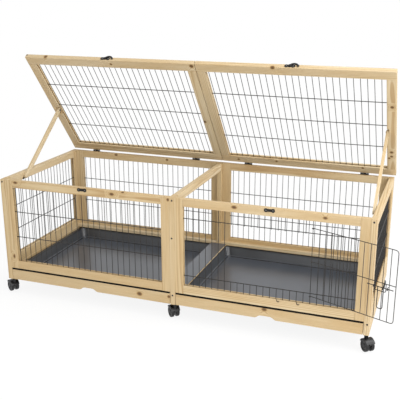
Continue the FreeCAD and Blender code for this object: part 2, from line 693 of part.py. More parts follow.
def s_curve(start, run, rise):
    """Two equal arcs from start to a point run along X and rise along Z, level at both ends."""
    turn = 2 * atan(abs(rise) / run)
    half = vec(run / 2, 0, rise / 2)
    bow = vec(run / 4, 0, 0) + vec(0, 0, rise / 2) * ((1 - cos(turn / 2)) / (1 - cos(turn)))
    radius = run / (2 * sin(turn))
    first = start + vec(radius * sin(turn / 2), 0, bow.z)
    end = start + half * 2
    second = end - vec(radius * sin(turn / 2), 0, bow.z)
    return [Part.Arc(start, first, start + half).toShape(), Part.Arc(start + half, second, end).toShape()]


def drawer_front(x):
    x0, x1 = x + DRAWER_GAP_SIDE, x + BAY_WIDTH - DRAWER_GAP_SIDE
    z0 = LEG_FOOT + DRAWER_GAP_BELOW
    z1 = z0 + DRAWER_FRONT_HEIGHT
    middle = (x0 + x1) / 2
    start = vec(middle - FINGER_RECESS_FLAT / 2 - FINGER_RECESS_RUN, FRONT, z0)
    rise = s_curve(start, FINGER_RECESS_RUN, FINGER_RECESS_DEPTH)
    fall_start = vec(middle + FINGER_RECESS_FLAT / 2, FRONT, z0 + FINGER_RECESS_DEPTH)
    fall = s_curve(fall_start, FINGER_RECESS_RUN, -FINGER_RECESS_DEPTH)
    fall_end = fall_start + vec(FINGER_RECESS_RUN, 0, -FINGER_RECESS_DEPTH)
    rise_end = start + vec(FINGER_RECESS_RUN, 0, FINGER_RECESS_DEPTH)
    edges = [Part.LineSegment(vec(x0, FRONT, z0), start).toShape()]
    edges += rise
    edges.append(Part.LineSegment(rise_end, fall_start).toShape())
    edges += fall
    edges.append(Part.LineSegment(fall_end, vec(x1, FRONT, z0)).toShape())
    edges.append(Part.LineSegment(vec(x1, FRONT, z0), vec(x1, FRONT, z1)).toShape())
    edges.append(Part.LineSegment(vec(x1, FRONT, z1), vec(x0, FRONT, z1)).toShape())
    edges.append(Part.LineSegment(vec(x0, FRONT, z1), vec(x0, FRONT, z0)).toShape())
    return Part.Face(Part.Wire(edges)).extrude(vec(0, DRAWER_FRONT_THICK, 0))


def tray_levels():
    rim = PANEL_FOOT - TRAY_RIM_DROP
    return rim - TRAY_DEPTH, rim


def tray(x):
    """A moulded tray with drafted walls; its rim laps over the front board and turns down behind it."""
    floor, rim = tray_levels()
    x0, x1 = x + TRAY_GAP_SIDE, x + BAY_WIDTH - TRAY_GAP_SIDE
    y0, y1 = FRONT + DRAWER_FRONT_THICK, BACK - PANEL_THICK - TRAY_GAP_BACK

    def outline(inset, z):
        corner = TRAY_CORNER - inset * TRAY_CORNER_TAPER
        return rounded_rectangle(x0 + inset, x1 - inset, y0 + inset, y1 - inset, z, corner)

    foot = TRAY_RIM + TRAY_DRAFT
    body = Part.makeLoft([outline(foot, floor), outline(TRAY_RIM, rim)], True, True)
    plate = Part.Face(outline(0, rim - TRAY_WALL)).extrude(vec(0, 0, TRAY_WALL))
    lip = block(vec(x0 + TRAY_CORNER, y0, rim - TRAY_LIP), vec(x1 - TRAY_CORNER, y0 + TRAY_WALL, rim))
    flange = block(
        vec(x0 + TRAY_CORNER, FRONT + TRAY_FLANGE_SETBACK, rim - TRAY_WALL),
        vec(x1 - TRAY_CORNER, y0 + TRAY_WALL, rim),
    )
    inside = [outline(foot + TRAY_WALL, floor + TRAY_WALL), outline(TRAY_RIM + TRAY_WALL, rim)]
    hollow = Part.makeLoft(inside, True, True)
    return body.fuse([plate, lip, flange]).cut(hollow).removeSplitter()


def drawers():
    floor = tray_levels()[0]
    ledges = []
    ledge_width = TRAY_GAP_SIDE + TRAY_RIM + TRAY_DRAFT + LEDGE_LAP
    y0, y1 = FRONT + LEG_DEPTH, BACK - LEG_DEPTH
    top = floor - LEDGE_CLEAR
    for bay, x in BAY_START.items():
        export(f"drawer_{bay}_front", [drawer_front(x)])
        export(f"drawer_{bay}_tray", [tray(x)])
        for near in (x, x + BAY_WIDTH - ledge_width):
            ledges.append(batten(1, vec(near, y0, top - LEDGE_HEIGHT), vec(near + ledge_width, y1, top)))
    export("tray_ledges", ledges)


# Strips over the inner edges of the trays
def strip_level():
    return tray_levels()[1] + STRIP_TRAY_CLEAR


def cover_strips():
    """A wide strip on the divider board, with its plastic cover, and a batten along each back panel."""
    level = strip_level()
    half = DIVIDER_STRIP_WIDTH / 2
    front, back = FRONT + LEG_DEPTH, BACK - LEG_DEPTH
    cover_level = level + DIVIDER_STRIP_THICK
    strips = [batten(1, vec(-half, front, level), vec(half, back, cover_level))]
    panel_face = BACK - PANEL_THICK
    for x in BAY_START.values():
        low = vec(x, panel_face - BACK_STRIP_DEPTH, level)
        strips.append(batten(0, low, vec(x + BAY_WIDTH, panel_face, level + BACK_STRIP_HEIGHT)))
    export("cover_strips", strips)
    cover = block(vec(-half, front, cover_level), vec(half, back, cover_level + DIVIDER_COVER_THICK))
    export("divider_cover", [cover])


# Castors
def castor_places():
    """Stem axes under the ends of the legs, by castor name."""
    columns = {"left": LEFT + LEG_THICK / 2, "middle": 0, "right": RIGHT - LEG_THICK / 2}
    rows = {"front": FRONT + LEG_DEPTH / 2, "back": BACK - LEG_DEPTH / 2}
    return {f"castor_{row}_{column}": vec(x, y, 0) for column, x in columns.items() for row, y in rows.items()}


def castor_socket_hole(place):
    return rod(place + Z_AXIS * LEG_FOOT, Z_AXIS, CASTOR_SOCKET_DEPTH, CASTOR_SOCKET_DIA)


def castor_socket(place):
    sleeve = castor_socket_hole(place)
    flange = rod(place + Z_AXIS * LEG_FOOT, -Z_AXIS, CASTOR_FLANGE_THICK, CASTOR_FLANGE_DIA)
    bore_dia = CASTOR_STEM_DIA + 2 * FIT_CLEARANCE
    bore_foot = LEG_FOOT - CASTOR_FLANGE_THICK
    bore = rod(place + Z_AXIS * bore_foot, Z_AXIS, CASTOR_SOCKET_DEPTH, bore_dia)
    return sleeve.fuse(flange).cut(bore).removeSplitter()


def castor_frame():
    """Web, hood, neck, stem and axle of a castor whose stem stands on the origin and trails along +Y."""
    radius = CASTOR_WHEEL_DIA / 2
    axle = vec(0, CASTOR_TRAIL, radius)
    overall = CASTOR_WEB + 2 * (CASTOR_WHEEL_WIDTH + CASTOR_SIDE_CLEAR)
    inner = radius + CASTOR_HOOD_GAP
    outer = inner + CASTOR_HOOD_WALL

    def at(r, angle):
        return axle + vec(0, -r * cos(radians(angle)), r * sin(radians(angle)))

    first, last = CASTOR_HOOD_FRONT_ANGLE, CASTOR_HOOD_BACK_ANGLE
    middle = (first + last) / 2
    shell = [
        Part.Arc(at(outer, first), at(outer, middle), at(outer, last)).toShape(),
        Part.LineSegment(at(outer, last), at(inner, last)).toShape(),
        Part.Arc(at(inner, last), at(inner, middle), at(inner, first)).toShape(),
        Part.LineSegment(at(inner, first), at(outer, first)).toShape(),
    ]
    web_edges = [
        Part.Arc(at(outer, first), at(outer, middle), at(outer, last)).toShape(),
        Part.Arc(at(outer, last), axle - Z_AXIS * CASTOR_WEB_DROP, at(outer, first)).toShape(),
    ]
    hood = Part.Face(Part.Wire(shell)).extrude(X_AXIS * overall).translated(vec(-overall / 2, 0, 0))
    web = Part.Face(Part.Wire(web_edges)).extrude(X_AXIS * CASTOR_WEB).translated(vec(-CASTOR_WEB / 2, 0, 0))
    neck_top = LEG_FOOT - CASTOR_FLANGE_THICK - CASTOR_NECK_CLEAR
    wheel_space = rod(axle - X_AXIS * overall, X_AXIS, 2 * overall, 2 * inner)
    neck = rod(vec(0, 0, radius), Z_AXIS, neck_top - radius, CASTOR_NECK_DIA).cut(wheel_space)
    stem = rod(vec(0, 0, neck_top), Z_AXIS, CASTOR_STEM_LENGTH, CASTOR_STEM_DIA)
    pin = rod(axle - X_AXIS * (overall / 2), X_AXIS, overall, CASTOR_AXLE_DIA)
    return hood.fuse([web, neck, stem, pin]).removeSplitter()


def castor_wheels():
    """Two wheels with eased treads, one each side of the web."""
    radius = CASTOR_WHEEL_DIA / 2
    bore = CASTOR_AXLE_DIA / 2 + FIT_CLEARANCE
    axle = vec(0, CASTOR_TRAIL, radius)
    wheels = []
    for side in (-1, 1):
        inner = side * (CASTOR_WEB / 2 + CASTOR_SIDE_CLEAR)
        outer = inner + side * CASTOR_WHEEL_WIDTH
        section = [
            (inner, bore), (inner, radius), (outer - side * CASTOR_TREAD_EASE, radius),
            (outer, radius - CASTOR_TREAD_EASE), (outer, bore),
        ]
        corners = [axle + vec(x, 0, r) for x, r in section]
        outline = Part.makePolygon(corners + corners[:1])
        wheels.append(Part.Face(outline).revolve(axle, X_AXIS, 360))
    return wheels


def castors():
    frame, wheels = castor_frame(), castor_wheels()
    turns = {"left": CASTOR_TURN_LEFT, "middle": CASTOR_TURN_MIDDLE, "right": CASTOR_TURN_RIGHT}
    for name, place in castor_places().items():
        turn = turns[name.split("_")[-1]] + (CASTOR_TURN_BACK if "back" in name else 0)
        for suffix, solids in (("frame", [frame]), ("wheels", wheels)):
            placed = []
            for solid in solids:
                turned = solid.copy()
                turned.rotate(vec(0, 0, 0), Z_AXIS, turn)
                placed.append(turned.translated(place))
            export(f"{name}_{suffix}", placed)
    export("castor_sockets", [castor_socket(place) for place in castor_places().values()])


os.makedirs("parts", exist_ok=True)
side_frames()
panels()
door()
lids()
stay_stops()
latch_keepers()
drawers()
cover_strips()
castors()
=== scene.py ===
import json
import random
from math import cos, pi, radians, sin

import bmesh
import bpy
import numpy as np
from mathutils import Matrix, Vector


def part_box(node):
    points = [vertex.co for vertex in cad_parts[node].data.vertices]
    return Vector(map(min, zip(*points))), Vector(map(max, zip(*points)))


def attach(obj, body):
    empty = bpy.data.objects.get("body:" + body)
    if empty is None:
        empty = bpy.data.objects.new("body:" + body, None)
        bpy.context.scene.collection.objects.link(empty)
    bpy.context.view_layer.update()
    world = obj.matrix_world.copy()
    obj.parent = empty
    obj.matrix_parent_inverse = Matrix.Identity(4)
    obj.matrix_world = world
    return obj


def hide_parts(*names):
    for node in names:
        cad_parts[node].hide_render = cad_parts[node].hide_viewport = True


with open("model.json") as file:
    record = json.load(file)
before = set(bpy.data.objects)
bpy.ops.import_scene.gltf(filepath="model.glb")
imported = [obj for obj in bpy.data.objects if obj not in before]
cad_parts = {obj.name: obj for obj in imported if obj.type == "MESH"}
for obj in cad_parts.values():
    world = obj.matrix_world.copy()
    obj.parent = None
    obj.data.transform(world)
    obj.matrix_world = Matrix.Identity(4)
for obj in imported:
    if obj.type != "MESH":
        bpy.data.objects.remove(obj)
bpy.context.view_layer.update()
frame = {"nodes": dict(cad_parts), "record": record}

MM = 0.001
NODES = frame["nodes"]
BODIES = frame["record"]["behaviour"]["bodies"]
BODY_OF = {name: body for body, names in BODIES.items() for name in names}
JOINTS = {joint["name"]: joint for joint in frame["record"]["behaviour"]["joints"]}
SCENE = bpy.context.scene

# Angles of the open lids and the open door, in degrees, and faces of the wooden frame, in millimetres
LID_ANGLE = JOINTS["lid_left_hinge"]["range_deg"][1]
DOOR_ANGLE = -JOINTS["door_hinge"]["range_deg"][0]
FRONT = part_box("front_left_rails")[0][1] / MM
BACK_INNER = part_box("back_left_rails")[0][1] / MM
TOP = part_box("side_top_rails")[1][2] / MM

# Sizes that only the scene has, in millimetres. The lids' knots lie just inside their closed underside
EDGE_ROUND = 1.3
RAIL_ROUND = 0.6
KNOT_DEPTH = 10.0
LID_KNOT_LEVEL = TOP + 5.5


# Small helpers
def linear(hex_value):
    """An sRGB hex value as linear RGBA."""
    parts = [int(hex_value[k:k + 2], 16) / 255 for k in (1, 3, 5)]
    return tuple(p / 12.92 if p <= 0.04045 else ((p + 0.055) / 1.055) ** 2.4 for p in parts) + (1.0,)


def node(tree, kind, inputs=None, **settings):
    """Adds a node with its settings; sockets given as inputs are linked, other values set."""
    made = tree.nodes.new(kind)
    for key, value in settings.items():
        setattr(made, key, value)
    for key, value in (inputs or {}).items():
        if isinstance(value, list):
            for socket in value:
                tree.links.new(socket, made.inputs[key])
        elif isinstance(value, bpy.types.NodeSocket):
            tree.links.new(value, made.inputs[key])
        else:
            made.inputs[key].default_value = value
    return made


def finish_of(name, **constants):
    """A new material with one Principled shader, its plain values set on the sockets."""
    material = bpy.data.materials.new(name)
    material.use_nodes = True
    tree = material.node_tree
    shader = tree.nodes["Principled BSDF"]
    for key, value in constants.items():
        shader.inputs[key.replace("_", " ").title().replace("Ior", "IOR")].default_value = value
    return material, tree, shader


def stops(ramp, *pairs):
    """Sets a colour ramp's stops from pairs of place and hex value."""
    elements = ramp.color_ramp.elements
    while len(elements) < len(pairs):
        elements.new(1.0)
    for element, (place, hex_value) in zip(elements, pairs):
        element.position = place
        element.color = linear(hex_value)
    return ramp.outputs["Color"]


# Knots of the front and of the back's inner face, in millimetres: place across and up, reach across and up
FRONT_KNOTS = [
    (-656, 474, 9, 5), (-239, 470, 10, 6), (-194, 482, 6, 4), (-14, 472, 5, 6), (-689, 164, 5, 9),
    (236, 471, 10, 6), (555, 468, 8, 5), (-137, 85, 11, 8), (-16, 92, 6, 6), (354, 100, 10, 6),
]
BACK_KNOTS = [(-500, 476, 8, 5), (-250, 474, 6, 5)]
# Knots of the closed lids: place across, from front to back and above the knots' level, and reach
LID_KNOTS = [
    (-627, -283, 7, 8), (-342, -264, 0, 5), (-8, -271, 0, 8), (301, -281, 0, 8),
    (79, 260, 0, 5), (245, 253, 0, 5), (601, 248, 0, 5), (-24, 34, 0, 7),
    (715, -112, 0, 7), (713, 137, 0, 7), (713, 162, 0, 6), (704, 173, 0, 5),
]


def all_knots():
    """Place and reach of every knot, in millimetres."""
    found = [((x, FRONT, z), (across, KNOT_DEPTH, up)) for x, z, across, up in FRONT_KNOTS]
    found += [((x, BACK_INNER, z), (across, KNOT_DEPTH, up)) for x, z, across, up in BACK_KNOTS]
    for x, y, rise, reach in LID_KNOTS:
        found.append((lid_place(x, y, LID_KNOT_LEVEL + rise), (reach, reach, reach)))
    return found


def planed_pine():
    """Planed, unvarnished pine: pale early wood, narrow darker late wood, brown knots, a dull sheen."""
    material, tree, shader = finish_of("planed_pine", ior=1.5)
    grain = node(tree, "ShaderNodeAttribute", attribute_name="grain").outputs["Vector"]
    tone = node(tree, "ShaderNodeAttribute", attribute_name="tone").outputs["Fac"]
    place = node(tree, "ShaderNodeTexCoord").outputs["Object"]

    def streaks(length, width, detail):
        """Noise drawn out along the grain, its cells a length and a width in millimetres."""
        cells = (1 / (length * MM), 1 / (width * MM), 1 / (width * MM))
        drawn = node(tree, "ShaderNodeMapping", {"Vector": grain, "Scale": cells}).outputs[0]
        return node(
            tree, "ShaderNodeTexNoise", {"Vector": drawn, "Scale": 1.0, "Detail": detail}
        ).outputs["Fac"]

    # Distance to the nearest knot, in knot radii
    nearest = None
    for centre, reach in all_knots():
        scale = tuple(1 / (r * MM) for r in reach)
        shift = tuple(-c / r for c, r in zip(centre, reach))
        offset = node(
            tree, "ShaderNodeVectorMath", {0: place, 1: scale, 2: shift}, operation="MULTIPLY_ADD"
        ).outputs[0]
        length = node(tree, "ShaderNodeVectorMath", {0: offset}, operation="LENGTH").outputs["Value"]
        if nearest is None:
            nearest = length
        else:
            nearest = node(tree, "ShaderNodeMath", {0: nearest, 1: length}, operation="MINIMUM").outputs[0]
    # Growth rings 3.6 mm apart about a pith outside the batten, wandering by up to 9 mm and bent round knots
    ring_spacing, wandering = 3.6 * MM, 9 * MM
    across = node(tree, "ShaderNodeVectorMath", {0: grain, 1: (0, 1, 1)}, operation="MULTIPLY").outputs[0]
    radius = node(tree, "ShaderNodeVectorMath", {0: across}, operation="LENGTH").outputs["Value"]
    wander = streaks(455, 71.4, 2.0)
    bent = node(
        tree, "ShaderNodeMath", {0: wander, 1: wandering, 2: radius}, operation="MULTIPLY_ADD"
    ).outputs[0]
    phase = node(tree, "ShaderNodeMath", {0: bent, 1: ring_spacing}, operation="DIVIDE").outputs[0]
    around = node(
        tree, "ShaderNodeMapRange", {0: nearest, 1: 0.8, 2: 3.4, 3: 2.4, 4: 0.0},
        interpolation_type="SMOOTHSTEP",
    ).outputs[0]
    phase = node(tree, "ShaderNodeMath", {0: phase, 1: around}, operation="ADD").outputs[0]
    ring = node(tree, "ShaderNodeMath", {0: phase}, operation="FRACT").outputs[0]
    rings = stops(
        node(tree, "ShaderNodeValToRGB", {0: ring}),
        (0.0, "#D7CAAF"), (0.5, "#D2C3A5"), (0.84, "#BDA784"), (0.93, "#BDA784"), (1.0, "#D7CAAF"),
    )
    # Fibres, which are finer on real pine and drawn this wide to show, and slow drifts of colour
    fibre = streaks(125, 1.54, 3.0)
    drift = streaks(250, 33.3, 2.0)
    fibre_shade = stops(node(tree, "ShaderNodeValToRGB", {0: fibre}), (0.3, "#ECE8E0"), (0.7, "#FFFFFF"))
    drift_shade = stops(node(tree, "ShaderNodeValToRGB", {0: drift}), (0.3, "#F5ECDC"), (0.7, "#FFFFFF"))
    # Tone differs at random between battens, and its paler range on lids, stays, strips and high side rails
    # is painted light
    tone_and_light_tint = stops(node(tree, "ShaderNodeValToRGB", {0: tone}), (0.0, "#F3E8D4"), (1.0, "#FFFFFF"))
    colour = rings
    for shade in (fibre_shade, drift_shade, tone_and_light_tint):
        colour = node(
            tree, "ShaderNodeMix", {0: 1.0, 6: colour, 7: shade}, data_type="RGBA", blend_type="MULTIPLY"
        ).outputs[2]
    knot_colour = stops(
        node(tree, "ShaderNodeValToRGB", {0: nearest}),
        (0.0, "#523A20"), (0.5, "#664A29"), (0.85, "#83643C"), (1.0, "#A58552"),
    )
    knot_share = node(
        tree, "ShaderNodeMapRange", {0: nearest, 1: 0.85, 2: 1.5, 3: 1.0, 4: 0.0},
        interpolation_type="SMOOTHSTEP",
    ).outputs[0]
    colour = node(
        tree, "ShaderNodeMix", {0: knot_share, 6: colour, 7: knot_colour}, data_type="RGBA"
    ).outputs[2]
    tree.links.new(colour, shader.inputs["Base Color"])
    dull = node(tree, "ShaderNodeMapRange", {0: fibre, 3: 0.52, 4: 0.7}).outputs[0]
    tree.links.new(dull, shader.inputs["Roughness"])
    relief = node(tree, "ShaderNodeMath", {0: ring, 1: 0.4, 2: fibre}, operation="MULTIPLY_ADD").outputs[0]
    bump = node(tree, "ShaderNodeBump", {"Strength": 0.25, "Distance": 0.15 * MM, "Height": relief})
    tree.links.new(bump.outputs[0], shader.inputs["Normal"])
    return material


def coated_wire():
    """Drawn steel wire under a dark satin coating, a little uneven along the wire."""
    material, tree, shader = finish_of("dark_coated_steel_wire", base_color=linear("#1E1B18"), ior=1.5)
    place = node(tree, "ShaderNodeTexCoord").outputs["Object"]
    mottle = node(
        tree, "ShaderNodeTexNoise", {"Vector": place, "Scale": 1 / (4 * MM), "Detail": 2.0}
    ).outputs["Fac"]
    rough = node(tree, "ShaderNodeMapRange", {0: mottle, 3: 0.3, 4: 0.5}).outputs[0]
    tree.links.new(rough, shader.inputs["Roughness"])
    bump = node(tree, "ShaderNodeBump", {"Strength": 0.15, "Distance": 0.05 * MM, "Height": mottle})
    tree.links.new(bump.outputs[0], shader.inputs["Normal"])
    return material


def tray_plastic():
    """Moulded grey polystyrene: a soft gloss, a faint orange-peel skin, a floor painted lighter than the
    walls as painted light from above, and painted shade on the rim and at the foot of the step.
    """
    material, tree, shader = finish_of(
        "moulded_grey_polystyrene", ior=1.55, coat_weight=0.25, coat_roughness=0.2
    )
    place = node(tree, "ShaderNodeTexCoord").outputs["Object"]
    peel = node(
        tree, "ShaderNodeTexNoise", {"Vector": place, "Scale": 1 / (3 * MM), "Detail": 2.0}
    ).outputs["Fac"]
    cloud = node(
        tree, "ShaderNodeTexNoise", {"Vector": place, "Scale": 1 / (120 * MM), "Detail": 3.0}
    ).outputs["Fac"]
    walls = stops(node(tree, "ShaderNodeValToRGB", {0: cloud}), (0.35, "#303236"), (0.65, "#34373B"))
    floor = stops(node(tree, "ShaderNodeValToRGB", {0: cloud}), (0.35, "#43474E"), (0.65, "#4A4E55"))
    # Painted light and shade: faces that turn up, the floor, are painted lighter than the walls, and the rim
    # and the foot of the step round the floor are painted darker as shade
    low, high = (corner[2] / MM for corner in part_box("drawer_left_tray"))
    facing = node(tree, "ShaderNodeTexCoord").outputs["Normal"]
    upward = node(tree, "ShaderNodeSeparateXYZ", {0: facing}).outputs["Z"]
    flat = node(tree, "ShaderNodeMapRange", {0: upward, 1: 0.6, 2: 0.98}).outputs[0]
    level = node(tree, "ShaderNodeSeparateXYZ", {0: place}).outputs["Z"]

    def away_from(height, near, far):
        """0 within a reach of a height above the ground and 1 past a farther one, in millimetres."""
        offset = node(tree, "ShaderNodeMath", {0: level, 1: -height * MM}, operation="ADD").outputs[0]
        distance = node(tree, "ShaderNodeMath", {0: offset}, operation="ABSOLUTE").outputs[0]
        return node(tree, "ShaderNodeMapRange", {0: distance, 1: near * MM, 2: far * MM}).outputs[0]

    off_rim = away_from(high - 1, 4, 6)
    off_step = away_from(low + 4.5, 1.4, 1.9)
    # Upward faces off the rim take the lighter floor colour, as painted light from above
    floor_painted_light = node(tree, "ShaderNodeMath", {0: flat, 1: off_rim}, operation="MULTIPLY").outputs[0]
    colour = node(tree, "ShaderNodeMix", {0: floor_painted_light, 6: walls, 7: floor}, data_type="RGBA").outputs[2]
    # The band round the rim is painted near-black, as painted shade of the gap between the rim and the wood
    rim = linear("#1B1C1E")
    colour = node(tree, "ShaderNodeMix", {0: off_rim, 6: rim, 7: colour}, data_type="RGBA").outputs[2]
    # The foot of the step round the floor is painted near-black, as painted shade in the crease
    step_painted_shade = linear("#0E0F10")
    colour = node(tree, "ShaderNodeMix", {0: off_step, 6: step_painted_shade, 7: colour}, data_type="RGBA").outputs[2]
    tree.links.new(colour, shader.inputs["Base Color"])
    rough = node(tree, "ShaderNodeMapRange", {0: cloud, 3: 0.28, 4: 0.34}).outputs[0]
    tree.links.new(rough, shader.inputs["Roughness"])
    bump = node(tree, "ShaderNodeBump", {"Strength": 0.12, "Distance": 0.1 * MM, "Height": peel})
    tree.links.new(bump.outputs[0], shader.inputs["Normal"])
    return material


def black_plastic(name, hex_value, low, high, shine=0.35):
    """Moulded black plastic with a fine satin grain, its roughness from low to high."""
    material, tree, shader = finish_of(
        name, base_color=linear(hex_value), ior=1.53, specular_ior_level=shine
    )
    place = node(tree, "ShaderNodeTexCoord").outputs["Object"]
    grit = node(
        tree, "ShaderNodeTexNoise", {"Vector": place, "Scale": 1 / (0.8 * MM), "Detail": 2.0}
    ).outputs["Fac"]
    rough = node(tree, "ShaderNodeMapRange", {0: grit, 3: low, 4: high}).outputs[0]
    tree.links.new(rough, shader.inputs["Roughness"])
    bump = node(tree, "ShaderNodeBump", {"Strength": 0.2, "Distance": 0.05 * MM, "Height": grit})
    tree.links.new(bump.outputs[0], shader.inputs["Normal"])
    return material


def black_steel():
    """Pressed steel with a thin black lacquer, worn a little lighter in patches."""
    material, tree, shader = finish_of("black_lacquered_steel", ior=1.5, specular_ior_level=0.4)
    place = node(tree, "ShaderNodeTexCoord").outputs["Object"]
    wear = node(
        tree, "ShaderNodeTexNoise", {"Vector": place, "Scale": 1 / (5 * MM), "Detail": 4.0}
    ).outputs["Fac"]
    colour = stops(node(tree, "ShaderNodeValToRGB", {0: wear}), (0.4, "#0B0B0B"), (0.75, "#1B1918"))
    tree.links.new(colour, shader.inputs["Base Color"])
    rough = node(tree, "ShaderNodeMapRange", {0: wear, 3: 0.28, 4: 0.5}).outputs[0]
    tree.links.new(rough, shader.inputs["Roughness"])
    return material


def zinc_steel():
    """Zinc-plated steel: grey, half bright, slightly clouded."""
    material, tree, shader = finish_of("zinc_plated_steel", metallic=1.0)
    place = node(tree, "ShaderNodeTexCoord").outputs["Object"]
    cloud = node(
        tree, "ShaderNodeTexNoise", {"Vector": place, "Scale": 1 / (2 * MM), "Detail": 3.0}
    ).outputs["Fac"]
    colour = stops(node(tree, "ShaderNodeValToRGB", {0: cloud}), (0.35, "#8F8D88"), (0.7, "#AAA7A0"))
    tree.links.new(colour, shader.inputs["Base Color"])
    rough = node(tree, "ShaderNodeMapRange", {0: cloud, 3: 0.3, 4: 0.45}).outputs[0]
    tree.links.new(rough, shader.inputs["Roughness"])
    return material


# Pieces
def piece(name, mesh, material, body, slot, *nodes):
    """A finished mesh as a piece that rides on a body and stands for nodes of the frame."""
    if material is not None:
        mesh.materials.clear()
        mesh.materials.append(material)
    made = bpy.data.objects.new(name, mesh)
    SCENE.collection.objects.link(made)
    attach(made, body)
    if nodes:
        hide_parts(*nodes)
    return made


def whole_mesh(name):
    """A node's loose triangles merged into whole flat faces."""
    shape = bmesh.new()
    shape.from_mesh(NODES[name].data)
    bmesh.ops.remove_doubles(shape, verts=shape.verts, dist=0.002 * MM)
    bmesh.ops.dissolve_limit(shape, angle_limit=radians(0.3), verts=shape.verts, edges=shape.edges)
    return shape


def round_edges(shape, width, angle=25):
    """Rounds the edges that turn by more than an angle."""
    sharp = [e for e in shape.edges if len(e.link_faces) == 2 and e.calc_face_angle(0) > radians(angle)]
    bmesh.ops.bevel(
        shape, geom=sharp, offset=width * MM, offset_type="OFFSET", segments=2, profile=0.5,
        affect="EDGES", clamp_overlap=True,
    )


def smooth_mesh(shape, name, angle=40):
    """Turns the shape into a mesh, smooth but for its sharp edges, with flat faces kept flat."""
    mesh = bpy.data.meshes.new(name)
    shape.to_mesh(mesh)
    shape.free()
    mesh.shade_smooth()
    mesh.set_sharp_from_angle(angle=radians(angle))
    holder = bpy.data.objects.new(name, mesh)
    SCENE.collection.objects.link(holder)
    weigh = holder.modifiers.new("flat_faces", "WEIGHTED_NORMAL")
    weigh.keep_sharp = True
    graph = bpy.context.evaluated_depsgraph_get()
    result = bpy.data.meshes.new_from_object(holder.evaluated_get(graph))
    bpy.data.objects.remove(holder)
    bpy.data.meshes.remove(mesh)
    return result


def islands(mesh):
    """Vertex numbers of each separate solid in a mesh."""
    owner = list(range(len(mesh.vertices)))

    def root(k):
        while owner[k] != k:
            owner[k] = owner[owner[k]]
            k = owner[k]
        return k

    for edge in mesh.edges:
        owner[root(edge.vertices[0])] = root(edge.vertices[1])
    groups = {}
    for k in range(len(owner)):
        groups.setdefault(root(k), []).append(k)
    return list(groups.values())


def along_grain(name, low, high):
    """Direction in which a batten was sawn."""
    size = high - low
    if name.startswith("stay_"):
        return Vector((0, size.y, size.z)).normalized()
    if name.startswith("lid_") and "stiles" in name:
        return Vector((0, cos(radians(LID_ANGLE)), -sin(radians(LID_ANGLE))))
    longest = max(range(3), key=lambda k: size[k])
    return Vector([1.0 if k == longest else 0.0 for k in range(3)])


def board(name, seed):
    """A wooden node with rounded edges, each of its battens sawn from its own place in a log."""
    shape = whole_mesh(name)
    # Rails and drawer fronts are planed sharper than legs and stiles
    round_edges(shape, RAIL_ROUND if "rails" in name or name.endswith("_front") else EDGE_ROUND)
    mesh = smooth_mesh(shape, name)
    points = np.array([v.co for v in mesh.vertices])
    grain = np.zeros_like(points)
    tones_and_light = np.zeros(len(points))
    rng = random.Random(seed)
    battens = sorted(islands(mesh), key=lambda group: tuple(points[group].mean(0).round(3)))
    for group in battens:
        own = points[group]
        low, high = Vector(own.min(0)), Vector(own.max(0))
        along = along_grain(name, low, high)
        side = along.cross(Vector((0, 0, 1)) if abs(along.z) < 0.9 else Vector((1, 0, 0))).normalized()
        up = along.cross(side)
        axes = np.array([along, side, up])
        local = (own - np.array((low + high) / 2)) @ axes.T
        pith_angle = rng.uniform(0, 2 * pi)
        pith_reach = rng.uniform(30, 75) * MM
        lean = [rng.uniform(-0.006, 0.006), rng.uniform(-0.006, 0.006)]
        local[:, 1] += pith_reach * cos(pith_angle) + local[:, 0] * lean[0]
        local[:, 2] += pith_reach * sin(pith_angle) + local[:, 0] * lean[1]
        local[:, 0] += rng.uniform(0, 20)
        grain[group] = local
        # Lids, stays, cover strips and the long, high rails from front to back are painted paler than the
        # rest, as painted light; within each range the tone is random
        long_and_high = high.y - low.y > 400 * MM and low.z > 400 * MM
        pale = name.startswith(("lid_", "stay_", "cover_")) or long_and_high
        tones_and_light[group] = 0.5 + 0.5 * rng.random() if pale else 0.4 * rng.random()
    mesh.attributes.new("grain", "FLOAT_VECTOR", "POINT").data.foreach_set("vector", grain.ravel())
    mesh.attributes.new("tone", "FLOAT", "POINT").data.foreach_set("value", tones_and_light)
    return piece(f"wood_{name}", mesh, PINE, BODY_OF[name], "pine", name)


# Wires
def wire_tree():
    """Round wires along the edges of a mesh, each as thick as its points' diameter says."""
    tree = bpy.data.node_groups.new("round_wires", "GeometryNodeTree")
    tree.interface.new_socket("Edges", in_out="INPUT", socket_type="NodeSocketGeometry")
    tree.interface.new_socket("Sides", in_out="INPUT", socket_type="NodeSocketInt")
    tree.interface.new_socket("Coating", in_out="INPUT", socket_type="NodeSocketMaterial")
    tree.interface.new_socket("Wires", in_out="OUTPUT", socket_type="NodeSocketGeometry")
    given = node(tree, "NodeGroupInput").outputs
    lines = node(tree, "GeometryNodeMeshToCurve", {"Mesh": given["Edges"]}).outputs["Curve"]
    ring = node(tree, "GeometryNodeCurvePrimitiveCircle", {"Resolution": given["Sides"], "Radius": 0.5})
    width = node(tree, "GeometryNodeInputNamedAttribute", {"Name": "diameter"}, data_type="FLOAT")
    tubes = node(tree, "GeometryNodeCurveToMesh", {
        "Curve": lines, "Profile Curve": ring.outputs["Curve"],
        "Scale": width.outputs["Attribute"], "Fill Caps": True,
    })
    whole = node(tree, "GeometryNodeRealizeInstances", {"Geometry": tubes.outputs["Mesh"]})
    coated = node(
        tree, "GeometryNodeSetMaterial", {"Geometry": whole.outputs["Geometry"], "Material": given["Coating"]}
    )
    node(tree, "NodeGroupOutput", {"Wires": coated.outputs["Geometry"]})
    return tree


